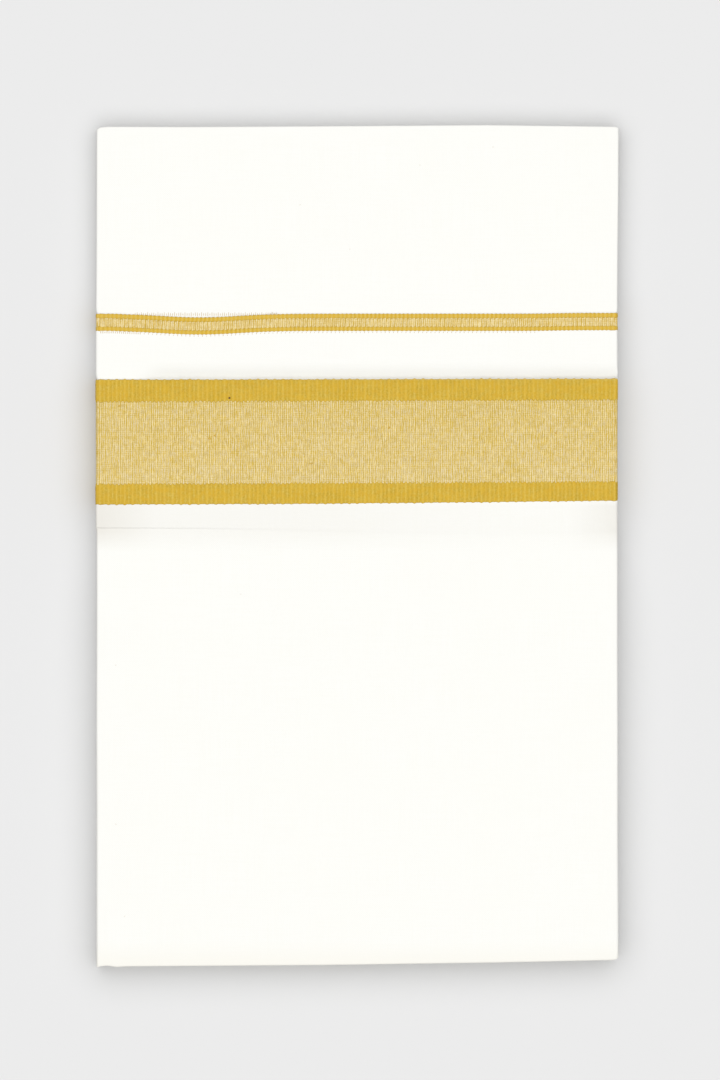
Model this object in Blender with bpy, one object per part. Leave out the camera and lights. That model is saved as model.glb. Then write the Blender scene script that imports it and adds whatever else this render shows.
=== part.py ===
"""A white cotton dhoti with gold borders, folded and pressed into a flat pack.

The pack lies on z = 0 with its length along Y and its face up. One woven length was folded
to four plies across its width, with both selvedges on the face, and then in half four times
along its length. The last of those folds is the spine on the left. The shown stretches are
walls that run from the roll on the right over the face, round the spine and along the
underside. The sizes below are millimetres, and the meshes are made in metres.
"""

from collections import namedtuple
from math import cos, exp, pi, sin

import bmesh
import bpy
import numpy as np

MM = 0.001

# The cloth as it is modelled
WALL = 1.0
SEAM = 0.3

# The rounded sides of the pack
SPINE_DEPTH = 4.5
ROLL_DEPTH = 3.0
ROLL_TUCK = 0.6
FREE_END_BACK = 0.6
NOSE_POWER = 2.5

# Outline of the pack seen from above
Edge = namedtuple("Edge", "along place")
LEFT_EDGE = (
    Edge(along=-184.0, place=-113.7),
    Edge(along=6.0, place=-113.7),
    Edge(along=8.5, place=-114.2),
    Edge(along=64.0, place=-114.2),
    Edge(along=102.0, place=-114.0),
    Edge(along=184.0, place=-113.7),
)
RIGHT_EDGE = (
    Edge(along=-184.0, place=114.0),
    Edge(along=8.0, place=113.6),
    Edge(along=94.0, place=113.7),
    Edge(along=184.0, place=114.2),
)
BOTTOM_EDGE = (
    Edge(along=-114.2, place=-183.9),
    Edge(along=-111.1, place=-182.9),
    Edge(along=-105.1, place=-183.6),
    Edge(along=-101.5, place=-183.3),
    Edge(along=80.0, place=-181.4),
    Edge(along=112.3, place=-180.9),
    Edge(along=113.4, place=-180.3),
    Edge(along=114.2, place=-179.2),
)
TOP_EDGE = (
    Edge(along=-114.2, place=182.1),
    Edge(along=-112.8, place=182.9),
    Edge(along=-110.0, place=183.3),
    Edge(along=-73.0, place=183.2),
    Edge(along=0.0, place=183.5),
    Edge(along=56.0, place=183.9),
    Edge(along=112.5, place=183.2),
    Edge(along=114.2, place=182.5),
)

# Where the borders lie along the pack
TOP_FOLD = 184.0
NARROW_TOP = 101.3
NARROW_FOOT = 93.9
WIDE_TOP = 72.9
TISSUE_TOP = 63.3
TISSUE_FOOT = 27.5
WIDE_FOOT = 19.0
CREASE = 7.4
BOTTOM_FOLD = -184.0

# How much those lines climb from the left to the right, for each millimetre across
TISSUE_TOP_CLIMB = 0.004
TISSUE_FOOT_CLIMB = 0.005
WIDE_FOOT_CLIMB = 0.009

# The narrow border sags where the pack was handled
SAG = 1.6
SAG_PLACE = -69.0
SAG_SPREAD = 24.0

# How far a lower ply runs in under the one that lies on it, and where it next bends
UNDERLAP = 11.0
KNEE = 4.0

# Places along the pack where the slope of the face changes
BOTTOM_ROUNDS = -177.0
LOWER_MIDDLE = -60.0
CREASE_HALF = 0.8
STRIP_SETTLES = 80.0
UPPER_SLOPES = 112.0
UPPER_SETTLES = 126.0
TOP_ROUNDS = 178.0

# Height of the face along the pack, one table for each ply that shows
Level = namedtuple("Level", "along height")
OUTER_PLY = (
    Level(along=BOTTOM_FOLD, height=13.3),
    Level(along=BOTTOM_ROUNDS, height=13.8),
    Level(along=LOWER_MIDDLE, height=14.0),
    Level(along=CREASE - CREASE_HALF, height=13.6),
    Level(along=CREASE + CREASE_HALF, height=14.0),
    Level(along=WIDE_TOP - UNDERLAP, height=14.0),
    Level(along=WIDE_TOP + SEAM, height=13.6),
)
MIDDLE_PLY = (
    Level(along=WIDE_TOP - UNDERLAP, height=12.7),
    Level(along=WIDE_TOP + SEAM, height=12.3),
    Level(along=STRIP_SETTLES, height=11.7),
    Level(along=NARROW_FOOT, height=11.3),
    Level(along=NARROW_TOP + SEAM, height=11.2),
)
INNER_PLY = (
    Level(along=NARROW_TOP - UNDERLAP, height=9.9),
    Level(along=NARROW_TOP + SEAM, height=9.9),
    Level(along=UPPER_SLOPES, height=9.3),
    Level(along=UPPER_SETTLES, height=9.0),
    Level(along=TOP_ROUNDS, height=8.8),
    Level(along=TOP_FOLD, height=8.5),
)

# Ribs woven across the gold bands
RIB_PITCH = 3.5
RIB_HEIGHT = 0.3
RIB_SCALLOP = 0.25
CORD_WIDTH = 1.8
CORD_HEIGHT = 0.25
CORD_CREST = 0.75
# The shares of the roll and of the spine over which raised forms come up and die away
ROLL_RISE = (0.2, 0.4)
SPINE_FALL = (0.6, 0.8)

# Faceting
ROLL_STEPS = 8
SPINE_STEPS = 12
FACE_STEPS = 8
BACK_STEPS = 3
SAG_STEPS = 30
EDGE_STEPS = 3

# Hidden layers, counted from the underside
LOWER_LAYERS = 7
GROOVE_LAYERS = 2
UPPER_LAYERS = 5
INNER_COLUMNS = 8
TUCK_ROOM = 0.5
FULL_HEIGHT = 14.0
LAYER_NOTCH = 0.45
# How far the fold of each hidden layer lies in from the end of the pack
LAYER_SLIP = (0.5, 0.3, 0.7, 0.4, 0.9, 0.5, 0.3, 0.6, 0.8, 0.4, 0.6, 0.3, 0.5, 0.4)
# The folded edges on the right, each with the hidden layers that it turns
Roll = namedtuple("Roll", "first last set_back depth")
RIGHT_ROLLS = (
    Roll(first=0, last=1, set_back=0.8, depth=0.25),
    Roll(first=1, last=3, set_back=0.5, depth=1.0),
    Roll(first=3, last=7, set_back=0.2, depth=2.2),
)

# Colours as red, green and blue from 0 to 255
COTTON = (252, 251, 244)
GOLD = (214, 179, 71)
TISSUE = (224, 199, 130)


def value_at(table, along):
    """The second column of a table, read between its rows."""
    rows = np.array(table)
    return float(np.interp(along, rows[:, 0], rows[:, 1]))


def nose(angle, depth, half):
    """A point on a rounded fold that is a little squarer than an ellipse."""
    share_x, share_z = cos(angle), sin(angle)
    x = np.sign(share_x) * depth * abs(share_x) ** (2 / NOSE_POWER)
    z = np.sign(share_z) * half * abs(share_z) ** (2 / NOSE_POWER)
    return float(x), float(z)


def nose_reach(offset, depth, half):
    """How far that rounded fold reaches out at a height above its middle."""
    share = min(1.0, abs(offset) / half)
    return depth * (1 - share**NOSE_POWER) ** (1 / NOSE_POWER)


# The way round the pack

Stop = namedtuple("Stop", "part share")


def stops(face_steps):
    """Stops along the shown cloth, from the tuck on the right to the free end beneath."""
    way = [Stop("tuck", 0.0)]
    way += [Stop("roll", i / ROLL_STEPS) for i in range(ROLL_STEPS + 1)]
    way += [Stop("face", i / face_steps) for i in range(1, face_steps)]
    way += [Stop("spine", i / SPINE_STEPS) for i in range(SPINE_STEPS + 1)]
    way += [Stop("back", i / BACK_STEPS) for i in range(1, BACK_STEPS + 1)]
    return way


def wrapped(stop, along, height, inset):
    """The point at a stop, `inset` under the outer side of a pack that is `height` high."""
    left, right = value_at(LEFT_EDGE, along), value_at(RIGHT_EDGE, along)
    roll_x, spine_x = right - ROLL_DEPTH, left + SPINE_DEPTH
    if stop.part == "tuck":
        return roll_x - ROLL_TUCK, along, height / 2 + inset
    if stop.part == "roll":
        x, z = nose(pi * (stop.share - 0.5), ROLL_DEPTH - inset, height / 4 - inset)
        return roll_x + x, along, 0.75 * height + z
    if stop.part == "face":
        return roll_x + (spine_x - roll_x) * stop.share, along, height - inset
    if stop.part == "spine":
        x, z = nose(pi * (stop.share + 0.5), SPINE_DEPTH - inset, height / 2 - inset)
        return spine_x + x, along, height / 2 + z
    back_end = right - FREE_END_BACK
    return spine_x + (back_end - spine_x) * stop.share, along, inset


def across(stop, along):
    """How far to the right of the middle a stop lies."""
    return wrapped(stop, along, FULL_HEIGHT, 0.0)[0]


def raised_share(stop):
    """How much of a raised form stands out at a stop. None does in the tuck or underneath."""
    if stop.part == "roll":
        return float(np.interp(stop.share, ROLL_RISE, (0.0, 1.0)))
    if stop.part == "spine":
        return float(np.interp(stop.share, SPINE_FALL, (1.0, 0.0)))
    return 1.0 if stop.part == "face" else 0.0


# Walls of cloth

def wall_edge(at, toward, rounded):
    """The rim of a wall from its outer to its inner side, as (along, inset)."""
    if not rounded:
        return [(at, 0.0), (at, WALL)]
    half = WALL / 2
    turns = [pi * i / EDGE_STEPS for i in range(EDGE_STEPS + 1)]
    return [(at + toward * half * (sin(a) - 1), half * (1 - cos(a))) for a in turns]


def wall_section(low, inner_rows, high, low_round=False, high_round=False):
    """A closed section through a wall, at one stop."""
    section = [(row, 0.0) for row in inner_rows]
    section += wall_edge(high, 1, high_round)
    section += [(row, WALL) for row in reversed(inner_rows)]
    section += reversed(wall_edge(low, -1, low_round))
    return section


def wall_mesh(name, way, section_at, ply):
    """Lofts a wall through its section at each stop of the way."""
    mesh = bmesh.new()
    rings = []
    for stop in way:
        ring = []
        for along, inset in section_at(stop):
            point = wrapped(stop, along, value_at(ply, along), inset)
            ring.append(mesh.verts.new([MM * value for value in point]))
        rings.append(ring)
    for here, there in zip(rings, rings[1:]):
        for i in range(len(here)):
            j = (i + 1) % len(here)
            mesh.faces.new((here[i], here[j], there[j], there[i]))
    mesh.faces.new(rings[0])
    mesh.faces.new(rings[-1])
    return closed_object(name, mesh)


def closed_object(name, mesh):
    """Turns a closed bmesh into a smooth shaded object of the pack."""
    bmesh.ops.recalc_face_normals(mesh, faces=mesh.faces)
    bmesh.ops.triangulate(mesh, faces=[face for face in mesh.faces if len(face.verts) > 4])
    data = bpy.data.meshes.new(name)
    mesh.to_mesh(data)
    mesh.free()
    data.shade_smooth()
    data.set_sharp_from_angle(angle=pi / 5)
    made = bpy.data.objects.new(name, data)
    pack.objects.link(made)
    return made


# Stretches of the cloth

def sag(stop):
    """How far the narrow border lies below its line at a stop."""
    if stop.part != "face":
        return 0.0
    offset = (across(stop, NARROW_TOP) - SAG_PLACE) / SAG_SPREAD
    return SAG * exp(-offset * offset)


def underlap_foot(selvedge, stop):
    """The lower end of a ply under that selvedge, and where it bends next.

    On the flat of the face it runs in under the selvedge. On the folded sides it meets it.
    """
    clear = selvedge + SEAM
    if stop.part == "face":
        return selvedge - UNDERLAP, clear
    return clear, clear + KNEE


def upper_panel_section(stop):
    low, knee = underlap_foot(NARROW_TOP, stop)
    top = value_at(TOP_EDGE, across(stop, TOP_FOLD))
    rows = [knee, UPPER_SLOPES, UPPER_SETTLES, TOP_ROUNDS]
    return wall_section(low, rows, top, high_round=True)


def narrow_border_section(stop):
    low, high = NARROW_FOOT - sag(stop), NARROW_TOP - sag(stop)
    crest, rise = CORD_CREST * CORD_WIDTH, -CORD_HEIGHT * raised_share(stop)
    cords = [
        (low + WALL / 2, rise),
        (low + crest, rise),
        (low + CORD_WIDTH, 0.0),
        (high - CORD_WIDTH, 0.0),
        (high - crest, rise),
        (high - WALL, rise),
    ]
    return cords + wall_section(low, [], high, high_round=True)


def middle_strip_section(stop):
    low, knee = underlap_foot(WIDE_TOP, stop)
    return wall_section(low, [knee, STRIP_SETTLES], NARROW_FOOT - SEAM - sag(stop))


def band_section(stop, low, high, low_moves, high_moves):
    """A section through a ribbed gold band, whose outer edges are scalloped."""
    steps = {"roll": ROLL_STEPS, "face": band_face_steps(), "spine": SPINE_STEPS}
    rib = round(stop.share * steps.get(stop.part, 0)) % 2
    rise = RIB_HEIGHT * rib * raised_share(stop)
    low += RIB_SCALLOP * (1 - rib) * low_moves
    high -= RIB_SCALLOP * (1 - rib) * high_moves
    return [
        (low, 0.0),
        (low + WALL / 2, -rise),
        (high - WALL / 2, -rise),
        (high, 0.0),
        (high, WALL),
        (low, WALL),
    ]


def band_face_steps():
    """Two steps for each rib across the flat of the face."""
    face_width = RIGHT_EDGE[1].place - ROLL_DEPTH - LEFT_EDGE[2].place - SPINE_DEPTH
    return 2 * round(face_width / RIB_PITCH)


def line(at, climb, stop):
    """Where a woven line that climbs across the pack lies at a stop."""
    return at + climb * across(stop, at)


def upper_band_section(stop):
    foot = line(TISSUE_TOP, TISSUE_TOP_CLIMB, stop) + SEAM / 2
    return band_section(stop, foot, WIDE_TOP, 0, 1)


def tissue_section(stop):
    low = line(TISSUE_FOOT, TISSUE_FOOT_CLIMB, stop) + SEAM / 2
    high = line(TISSUE_TOP, TISSUE_TOP_CLIMB, stop) - SEAM / 2
    return wall_section(low, [WIDE_TOP - UNDERLAP], high)


def lower_band_section(stop):
    low = line(WIDE_FOOT, WIDE_FOOT_CLIMB, stop)
    high = line(TISSUE_FOOT, TISSUE_FOOT_CLIMB, stop) - SEAM / 2
    return band_section(stop, low, high, 1, 0)


def lower_panel_section(stop):
    foot = value_at(BOTTOM_EDGE, across(stop, BOTTOM_FOLD))
    rows = [BOTTOM_ROUNDS, LOWER_MIDDLE, CREASE - CREASE_HALF, CREASE + CREASE_HALF]
    high = line(WIDE_FOOT, WIDE_FOOT_CLIMB, stop) - SEAM
    return wall_section(foot, rows, high, low_round=True)


# Hidden layers

LAYERS = LOWER_LAYERS + GROOVE_LAYERS + UPPER_LAYERS
ROWS = 2 * LAYERS
GROOVE_ROW = 2 * LOWER_LAYERS
UPPER_ROW = 2 * (LOWER_LAYERS + GROOVE_LAYERS)
STATIONS = (
    BOTTOM_FOLD,
    BOTTOM_ROUNDS,
    LOWER_MIDDLE,
    CREASE - CREASE_HALF,
    CREASE + CREASE_HALF,
    WIDE_TOP - UNDERLAP - 2 * SEAM,
    WIDE_TOP - UNDERLAP - SEAM,
    WIDE_TOP,
    WIDE_TOP + SEAM,
    STRIP_SETTLES,
    NARROW_TOP - UNDERLAP - 2 * SEAM,
    NARROW_TOP - UNDERLAP - SEAM,
    NARROW_TOP,
    NARROW_TOP + SEAM,
    UPPER_SLOPES,
    UPPER_SETTLES,
    TOP_ROUNDS,
    TOP_FOLD,
)


def shown_height(along):
    """Height of whichever ply wraps the pack there."""
    if along <= WIDE_TOP:
        return value_at(OUTER_PLY, along)
    return value_at(MIDDLE_PLY if along <= NARROW_TOP else INNER_PLY, along)


def inner_top(along):
    """Height of the hidden layers, which make room for the plies that run in over them."""
    if along < WIDE_TOP - UNDERLAP - 1.5 * SEAM:
        lowest = value_at(OUTER_PLY, along)
    elif along < NARROW_TOP - UNDERLAP - 1.5 * SEAM:
        lowest = value_at(MIDDLE_PLY, along)
    else:
        lowest = value_at(INNER_PLY, along)
    return lowest - WALL - SEAM


def row_height(row, along):
    """Height of a row of the hidden layers. Odd rows are folds, even rows lie between."""
    height = shown_height(along)
    levels = (
        WALL + SEAM,
        height / 2 - TUCK_ROOM,
        height / 2 + WALL + SEAM,
        inner_top(along),
    )
    return float(np.interp(row, (0, GROOVE_ROW, UPPER_ROW, ROWS), levels))


def left_reach(row, along):
    height = shown_height(along)
    room = WALL + SEAM
    offset = row_height(row, along) - height / 2
    middle = value_at(LEFT_EDGE, along) + SPINE_DEPTH
    return middle - nose_reach(offset, SPINE_DEPTH - room, height / 2 - room)


def right_reach(row, along):
    height = shown_height(along)
    edge = value_at(RIGHT_EDGE, along)
    tuck_end = edge - ROLL_DEPTH - ROLL_TUCK
    if row <= GROOVE_ROW:
        layer = row / 2
        reaches = []
        for roll in RIGHT_ROLLS:
            if roll.first <= layer <= roll.last:
                middle, half = (roll.first + roll.last) / 2, (roll.last - roll.first) / 2
                depth = roll.depth * height / FULL_HEIGHT
                fallen = depth - nose_reach(layer - middle, depth, half)
                reaches.append(edge - roll.set_back - fallen)
        return min(reaches)
    if row < UPPER_ROW:
        return tuck_end - 3 * SEAM
    if row == UPPER_ROW:
        return tuck_end - SEAM
    room = WALL + SEAM
    offset = row_height(row, along) - 0.75 * height
    return edge - ROLL_DEPTH + nose_reach(offset, ROLL_DEPTH - room, height / 4 - room)


def end_slip(row):
    """How far a row lies in from the end of the pack."""
    if row % 2:
        return LAYER_SLIP[row // 2]
    beside = LAYER_SLIP[max(row // 2 - 1, 0) : row // 2 + 1]
    return max(beside) + LAYER_NOTCH


def inner_point(row, column, station):
    """A point of the hidden layers, on a box grid of rows, columns and stations."""
    along = STATIONS[station]
    left, right = left_reach(row, along), right_reach(row, along)
    x = left + (right - left) * column / INNER_COLUMNS
    if station == 0:
        return x, value_at(BOTTOM_EDGE, x) + end_slip(row), row_height(row, along)
    if station == len(STATIONS) - 1:
        return x, value_at(TOP_EDGE, x) - end_slip(row), row_height(row, along)
    return x, along, row_height(row, along)


def inner_layers():
    """The hidden layers as one solid, made on the skin of a box grid."""
    mesh = bmesh.new()
    made = {}
    ends = (ROWS, INNER_COLUMNS, len(STATIONS) - 1)

    def corner(*place):
        if place not in made:
            made[place] = mesh.verts.new([MM * value for value in inner_point(*place)])
        return made[place]

    for fixed in range(3):
        first, second = [axis for axis in range(3) if axis != fixed]
        for side in (0, ends[fixed]):
            for i in range(ends[first]):
                for j in range(ends[second]):
                    face = []
                    for step_i, step_j in ((0, 0), (1, 0), (1, 1), (0, 1)):
                        place = [0, 0, 0]
                        place[fixed] = side
                        place[first] = i + step_i
                        place[second] = j + step_j
                        face.append(corner(*place))
                    mesh.faces.new(face)
    return closed_object("inner_layers", mesh)


# Finish and assembly

def finish(made, colour, roughness, metallic):
    """Gives a piece its own material."""
    shade = bpy.data.materials.new(made.name)
    shade.use_nodes = True
    shader = shade.node_tree.nodes["Principled BSDF"]
    linear = [(value / 255) ** 2.2 for value in colour]
    shader.inputs["Base Color"].default_value = (*linear, 1.0)
    shader.inputs["Roughness"].default_value = roughness
    shader.inputs["Metallic"].default_value = metallic
    made.data.materials.append(shade)


def build():
    """Makes every piece of the pack."""
    plain_way, band_way, sag_way = stops(FACE_STEPS), stops(band_face_steps()), stops(SAG_STEPS)
    finish(inner_layers(), COTTON, 0.9, 0.0)
    white_pieces = (
        ("upper_panel", plain_way, upper_panel_section, INNER_PLY),
        ("middle_strip", sag_way, middle_strip_section, MIDDLE_PLY),
        ("lower_panel", plain_way, lower_panel_section, OUTER_PLY),
    )
    for name, way, section_at, ply in white_pieces:
        finish(wall_mesh(name, way, section_at, ply), COTTON, 0.9, 0.0)
    gold_pieces = (
        ("narrow_border", sag_way, narrow_border_section, MIDDLE_PLY),
        ("wide_border_upper_band", band_way, upper_band_section, OUTER_PLY),
        ("wide_border_lower_band", band_way, lower_band_section, OUTER_PLY),
    )
    for name, way, section_at, ply in gold_pieces:
        finish(wall_mesh(name, way, section_at, ply), GOLD, 0.5, 0.3)
    tissue = wall_mesh("wide_border_tissue", plain_way, tissue_section, OUTER_PLY)
    finish(tissue, TISSUE, 0.6, 0.2)


for leftover in list(bpy.data.objects):
    bpy.data.objects.remove(leftover, do_unlink=True)
pack = bpy.data.collections.new("folded_dhoti_cloth")
bpy.context.scene.collection.children.link(pack)
build()
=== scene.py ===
# %% [markdown]
# # A folded dhoti cloth
# A dhoti is one long woven cloth of white cotton, with a gold border along each selvedge.
# Here it is folded to four plies across its width and then in half four times along its
# length, pressed, and laid on a table with both borders showing. This lesson dresses the
# measured solids of that pack with thin cloth, placed in millimetres.

# %% Load the measured pack
import math
from collections import namedtuple

import bpy
import numpy as np
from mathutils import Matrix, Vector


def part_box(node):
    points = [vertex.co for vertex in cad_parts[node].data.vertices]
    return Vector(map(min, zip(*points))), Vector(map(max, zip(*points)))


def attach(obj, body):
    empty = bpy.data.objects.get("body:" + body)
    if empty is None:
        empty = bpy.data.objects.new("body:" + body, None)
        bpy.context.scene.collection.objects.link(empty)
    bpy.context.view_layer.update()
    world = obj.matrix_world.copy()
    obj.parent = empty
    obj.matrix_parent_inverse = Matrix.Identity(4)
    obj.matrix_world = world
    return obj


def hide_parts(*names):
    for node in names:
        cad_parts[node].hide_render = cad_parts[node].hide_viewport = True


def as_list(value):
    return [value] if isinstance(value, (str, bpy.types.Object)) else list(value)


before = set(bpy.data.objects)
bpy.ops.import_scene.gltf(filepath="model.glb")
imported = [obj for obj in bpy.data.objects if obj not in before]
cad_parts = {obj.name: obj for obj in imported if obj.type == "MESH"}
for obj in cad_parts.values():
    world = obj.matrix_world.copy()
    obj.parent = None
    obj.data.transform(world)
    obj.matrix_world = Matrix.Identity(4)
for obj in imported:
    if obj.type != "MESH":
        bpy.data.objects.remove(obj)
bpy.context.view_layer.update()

MM = 0.001
print("solids:", ", ".join(sorted(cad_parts)))

# %% [markdown]
# ## Sizes that the cloth has to share with the solids
# The borders lie where the solids have them, so their lines are read from the boxes of the
# solids. The outline of a pressed pack is not quite straight, and a box can't tell that, so
# the outline is a short table for each side: a place along the side, and where the edge is.

# %% Lines of the borders and outline of the pack
def line_of(node, end):
    """Where a solid begins (0) or ends (1) along the pack, in millimetres."""
    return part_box(node)[end][1] / MM


def table(*rows):
    return np.array(rows).T


def value_at(rows, place):
    """The second column of a table, read between its rows."""
    return np.interp(place, rows[0], rows[1])


NARROW_TOP = line_of("narrow_border", 1)
NARROW_FOOT = 93.9
WIDE_TOP = line_of("wide_border_upper_band", 1)
TISSUE_TOP, TISSUE_TOP_CLIMB = 63.3, 0.004
TISSUE_FOOT, TISSUE_FOOT_CLIMB = 27.5, 0.005
WIDE_TOP_CLIMB = 0.002
WIDE_FOOT = table((-114.2, 18.05), (-20, 18.35), (60, 19.1), (114.2, 19.75))

LEFT_EDGE = table(
    (-184, -113.85), (6, -113.85), (8.5, -114.2), (64, -114.2), (102, -114.1), (184, -113.85),
)
RIGHT_EDGE = table((-184, 114.0), (8, 113.6), (94, 113.7), (184, 114.2))
BOTTOM_EDGE = table(
    (-114.2, -184.0), (-111.1, -183.1), (-105.1, -183.9), (-101.5, -183.6), (-15, -183.0),
    (60, -181.9), (80, -181.5), (112.3, -180.8), (113.4, -180.2), (114.2, -179.1),
)
TOP_EDGE = table(
    (-114.2, 182.1), (-112.8, 182.9), (-110, 183.2), (-73, 183.1),
    (0, 183.5), (56, 183.9), (112.5, 183.2), (114.2, 182.5),
)
print(f"wide border up to {WIDE_TOP:.1f} mm, narrow border up to {NARROW_TOP:.1f} mm")

# %% [markdown]
# ## The height of each ply
# Three plies show on the face, like steps: the outer one carries the wide border, the middle
# one the narrow border, and the inner one is plain. Each has its own table of heights along
# the pack. The pack is thicker below the borders, where four plies lie on each other.

# %% Heights of the shown plies
OUTER_PLY = table((-184, 13.3), (-177, 13.8), (-60, 14.0), (19, 14.0), (62, 14.0), (73.2, 13.6))
MIDDLE_PLY = table((62, 12.7), (73.2, 12.8), (80, 12.7), (86, 12.1), (93.9, 11.3), (101.6, 11.2))
INNER_PLY = table((90, 10.6), (101.6, 10.7), (107, 10.0), (112, 9.5), (126, 9.0), (178, 8.8), (184, 8.5))
CLOTH = 0.3
FOLD_THICKNESS = 1.0


def ease(low, high, place):
    """Goes softly from 0 at low to 1 at high."""
    share = np.clip((place - low) / (high - low), 0.0, 1.0)
    return share * share * (3 - 2 * share)


# %% [markdown]
# ## The way round the pack
# The shown cloth is wrapped: it starts in a tuck on the right, goes over a roll, across the
# face, round the spine on the left and back along the underside to its cut end. Every piece
# follows that one way, so the pieces meet each other on all sides. A stop is a place on it.
# A pressed fold is squarer than an ellipse: the upper half of the spine is nearly a corner,
# and its lower half is rounder.

# %% Stops on the way
Stop = namedtuple("Stop", "part share")
SPINE_DEPTH, ROLL_DEPTH = 4.5, 3.0
TUCK_RUN, CUT_RUN = 5.0, 3.0
FREE_END_BACK = 0.6
PRESSED_ROLL, PRESSED_SPINE, UNDER_SPINE, LOOSE_TURN = 6.0, 10.0, 3.5, 2.5


def way_round(roll, face, spine, back):
    """Stops all the way round, with so many steps on each part."""
    way = [Stop("tuck", 0.0)]
    way += [Stop("roll", i / roll) for i in range(roll + 1)]
    way += [Stop("face", i / face) for i in range(1, face)]
    way += [Stop("spine", i / spine) for i in range(spine + 1)]
    way += [Stop("back", i / back) for i in range(1, back + 1)]
    way += [Stop("cut", 0.0), Stop("cut", 1.0)]
    return way


def nose(angle, depth, half, upper, lower):
    """A point on a rounded side. At a squareness of 2 it is an ellipse, at 10 nearly a box."""
    reach, rise = math.cos(angle), math.sin(angle)
    squareness = upper if rise > 0 else lower
    reach = math.copysign(abs(reach) ** (2 / squareness), reach)
    rise = math.copysign(abs(rise) ** (2 / squareness), rise)
    return depth * reach, half * rise


# %% Points at a stop
UNDERSIDE_RELIEF = 0.3
UNDERSIDE_LIMIT = 0.4
KEPT_INSET = -0.1


def shown_share(stop):
    """How freely relief stands out. On the underside the weight of the pack presses it."""
    if stop.part in ("back", "cut"):
        return 0.0
    if stop.part == "spine":
        return float(1 - ease(0.55, 0.95, stop.share))
    return 1.0


def settle(stop, lift):
    """The lift that is left at a stop. Underneath, relief is pressed in and insets are kept."""
    free = shown_share(stop)
    relief = np.clip(lift, KEPT_INSET, UNDERSIDE_LIMIT)
    pressed = UNDERSIDE_RELIEF * (relief - UNDERSIDE_LIMIT) + np.minimum(lift - KEPT_INSET, 0)
    return free * lift + (1 - free) * pressed


def laid(stop, along, height, lift):
    """Points at a stop for an array of places along the pack, lifted off its outer side."""
    left, right = value_at(LEFT_EDGE, along), value_at(RIGHT_EDGE, along)
    roll_x, spine_x = right - ROLL_DEPTH, left + SPINE_DEPTH
    raw_edge = 0.15 * np.sin(along / 9) + 0.1 * np.sin(along / 3.1)
    cut_x = right - FREE_END_BACK + raw_edge
    lift = settle(stop, lift)
    if stop.part == "tuck":
        x, z = roll_x - TUCK_RUN, height / 2 - lift
    elif stop.part == "roll":
        angle = math.pi * (stop.share - 0.5)
        reach, rise = nose(angle, ROLL_DEPTH + lift, height / 4 + lift, PRESSED_ROLL, PRESSED_ROLL)
        x, z = roll_x + reach, 0.75 * height + rise
    elif stop.part == "face":
        x, z = roll_x + (spine_x - roll_x) * stop.share, height + lift
    elif stop.part == "spine":
        angle = math.pi * (stop.share + 0.5)
        reach, rise = nose(angle, SPINE_DEPTH + lift, height / 2 + lift, PRESSED_SPINE, UNDER_SPINE)
        x, z = spine_x + reach, height / 2 + rise
    elif stop.part == "back":
        x, z = spine_x + (cut_x - spine_x) * stop.share, -lift
    else:
        x, z = cut_x - CUT_RUN * stop.share, CLOTH - lift
    return np.column_stack([x, along, z])


def reference_point(stop):
    """The point at a stop in the middle of the wide border, where the pack is 14 mm high."""
    return laid(stop, np.array([40.0]), np.array([14.0]), np.zeros(1))[0]


def across(stop):
    """How far to the right of the middle a stop lies."""
    return float(reference_point(stop)[0])


# %% [markdown]
# ## Flat coordinates of the cloth
# A weave follows the threads, not the shape that the cloth is folded into. So each point
# keeps where it lies on the flat cloth, in millimetres: how far it is along the way round,
# and how far along the pack. The finishes read this from a UV map named cloth.

# %% How far along the way each stop is
def run_along(points):
    """How far each point of a line is from its first one, measured along the line."""
    steps = np.linalg.norm(np.diff(points, axis=0), axis=1)
    return np.concatenate([[0], np.cumsum(steps)])


REFERENCE_WAY = way_round(60, 2, 90, 2)
reference_points = np.array([reference_point(stop) for stop in REFERENCE_WAY])
reference_travel = run_along(reference_points)
face_start = next(i for i, stop in enumerate(REFERENCE_WAY) if stop.part == "face")
reference_travel = reference_travel - reference_travel[face_start] - reference_points[face_start][0]


def travel_at(stop):
    """Distance along the way. On the face it is the distance to the left of the middle."""
    if stop.part == "face":
        return -across(stop)
    known = [(s.share, t) for s, t in zip(REFERENCE_WAY, reference_travel) if s.part == stop.part]
    if stop.part == "back":
        known.insert(0, (0.0, reference_travel[REFERENCE_WAY.index(Stop("spine", 1.0))]))
    return float(np.interp(stop.share, *np.array(known).T))


# %% [markdown]
# ## A piece of cloth
# A piece is a grid. One direction goes round the pack from stop to stop, the other along its
# length from row to row. What makes each piece its own is only its section: the rows at a
# stop, with their place along the pack, their height and their lift. A fold at the end of
# the pack is a half turn in the section, and a selvedge is a narrow turn as thick as one ply.

# %% Making a piece from its sections
Section = namedtuple("Section", "along height lift")


def join(*parts):
    return np.concatenate([np.atleast_1d(np.asarray(part, float)) for part in parts])


def cloth_object(name, points, faces, flat, finish):
    """A smooth mesh from points in millimetres, with its flat coordinates as a UV map."""
    mesh = bpy.data.meshes.new(name)
    mesh.from_pydata((points * MM).tolist(), [], faces)
    order = [corner for face in faces for corner in face]
    layer = mesh.uv_layers.new(name="cloth")
    layer.uv.foreach_set("vector", flat[order].ravel().astype(np.float32))
    mesh.shade_smooth()
    mesh.materials.append(finish)
    made = bpy.data.objects.new(name, mesh)
    bpy.context.scene.collection.objects.link(made)
    return made


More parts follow.
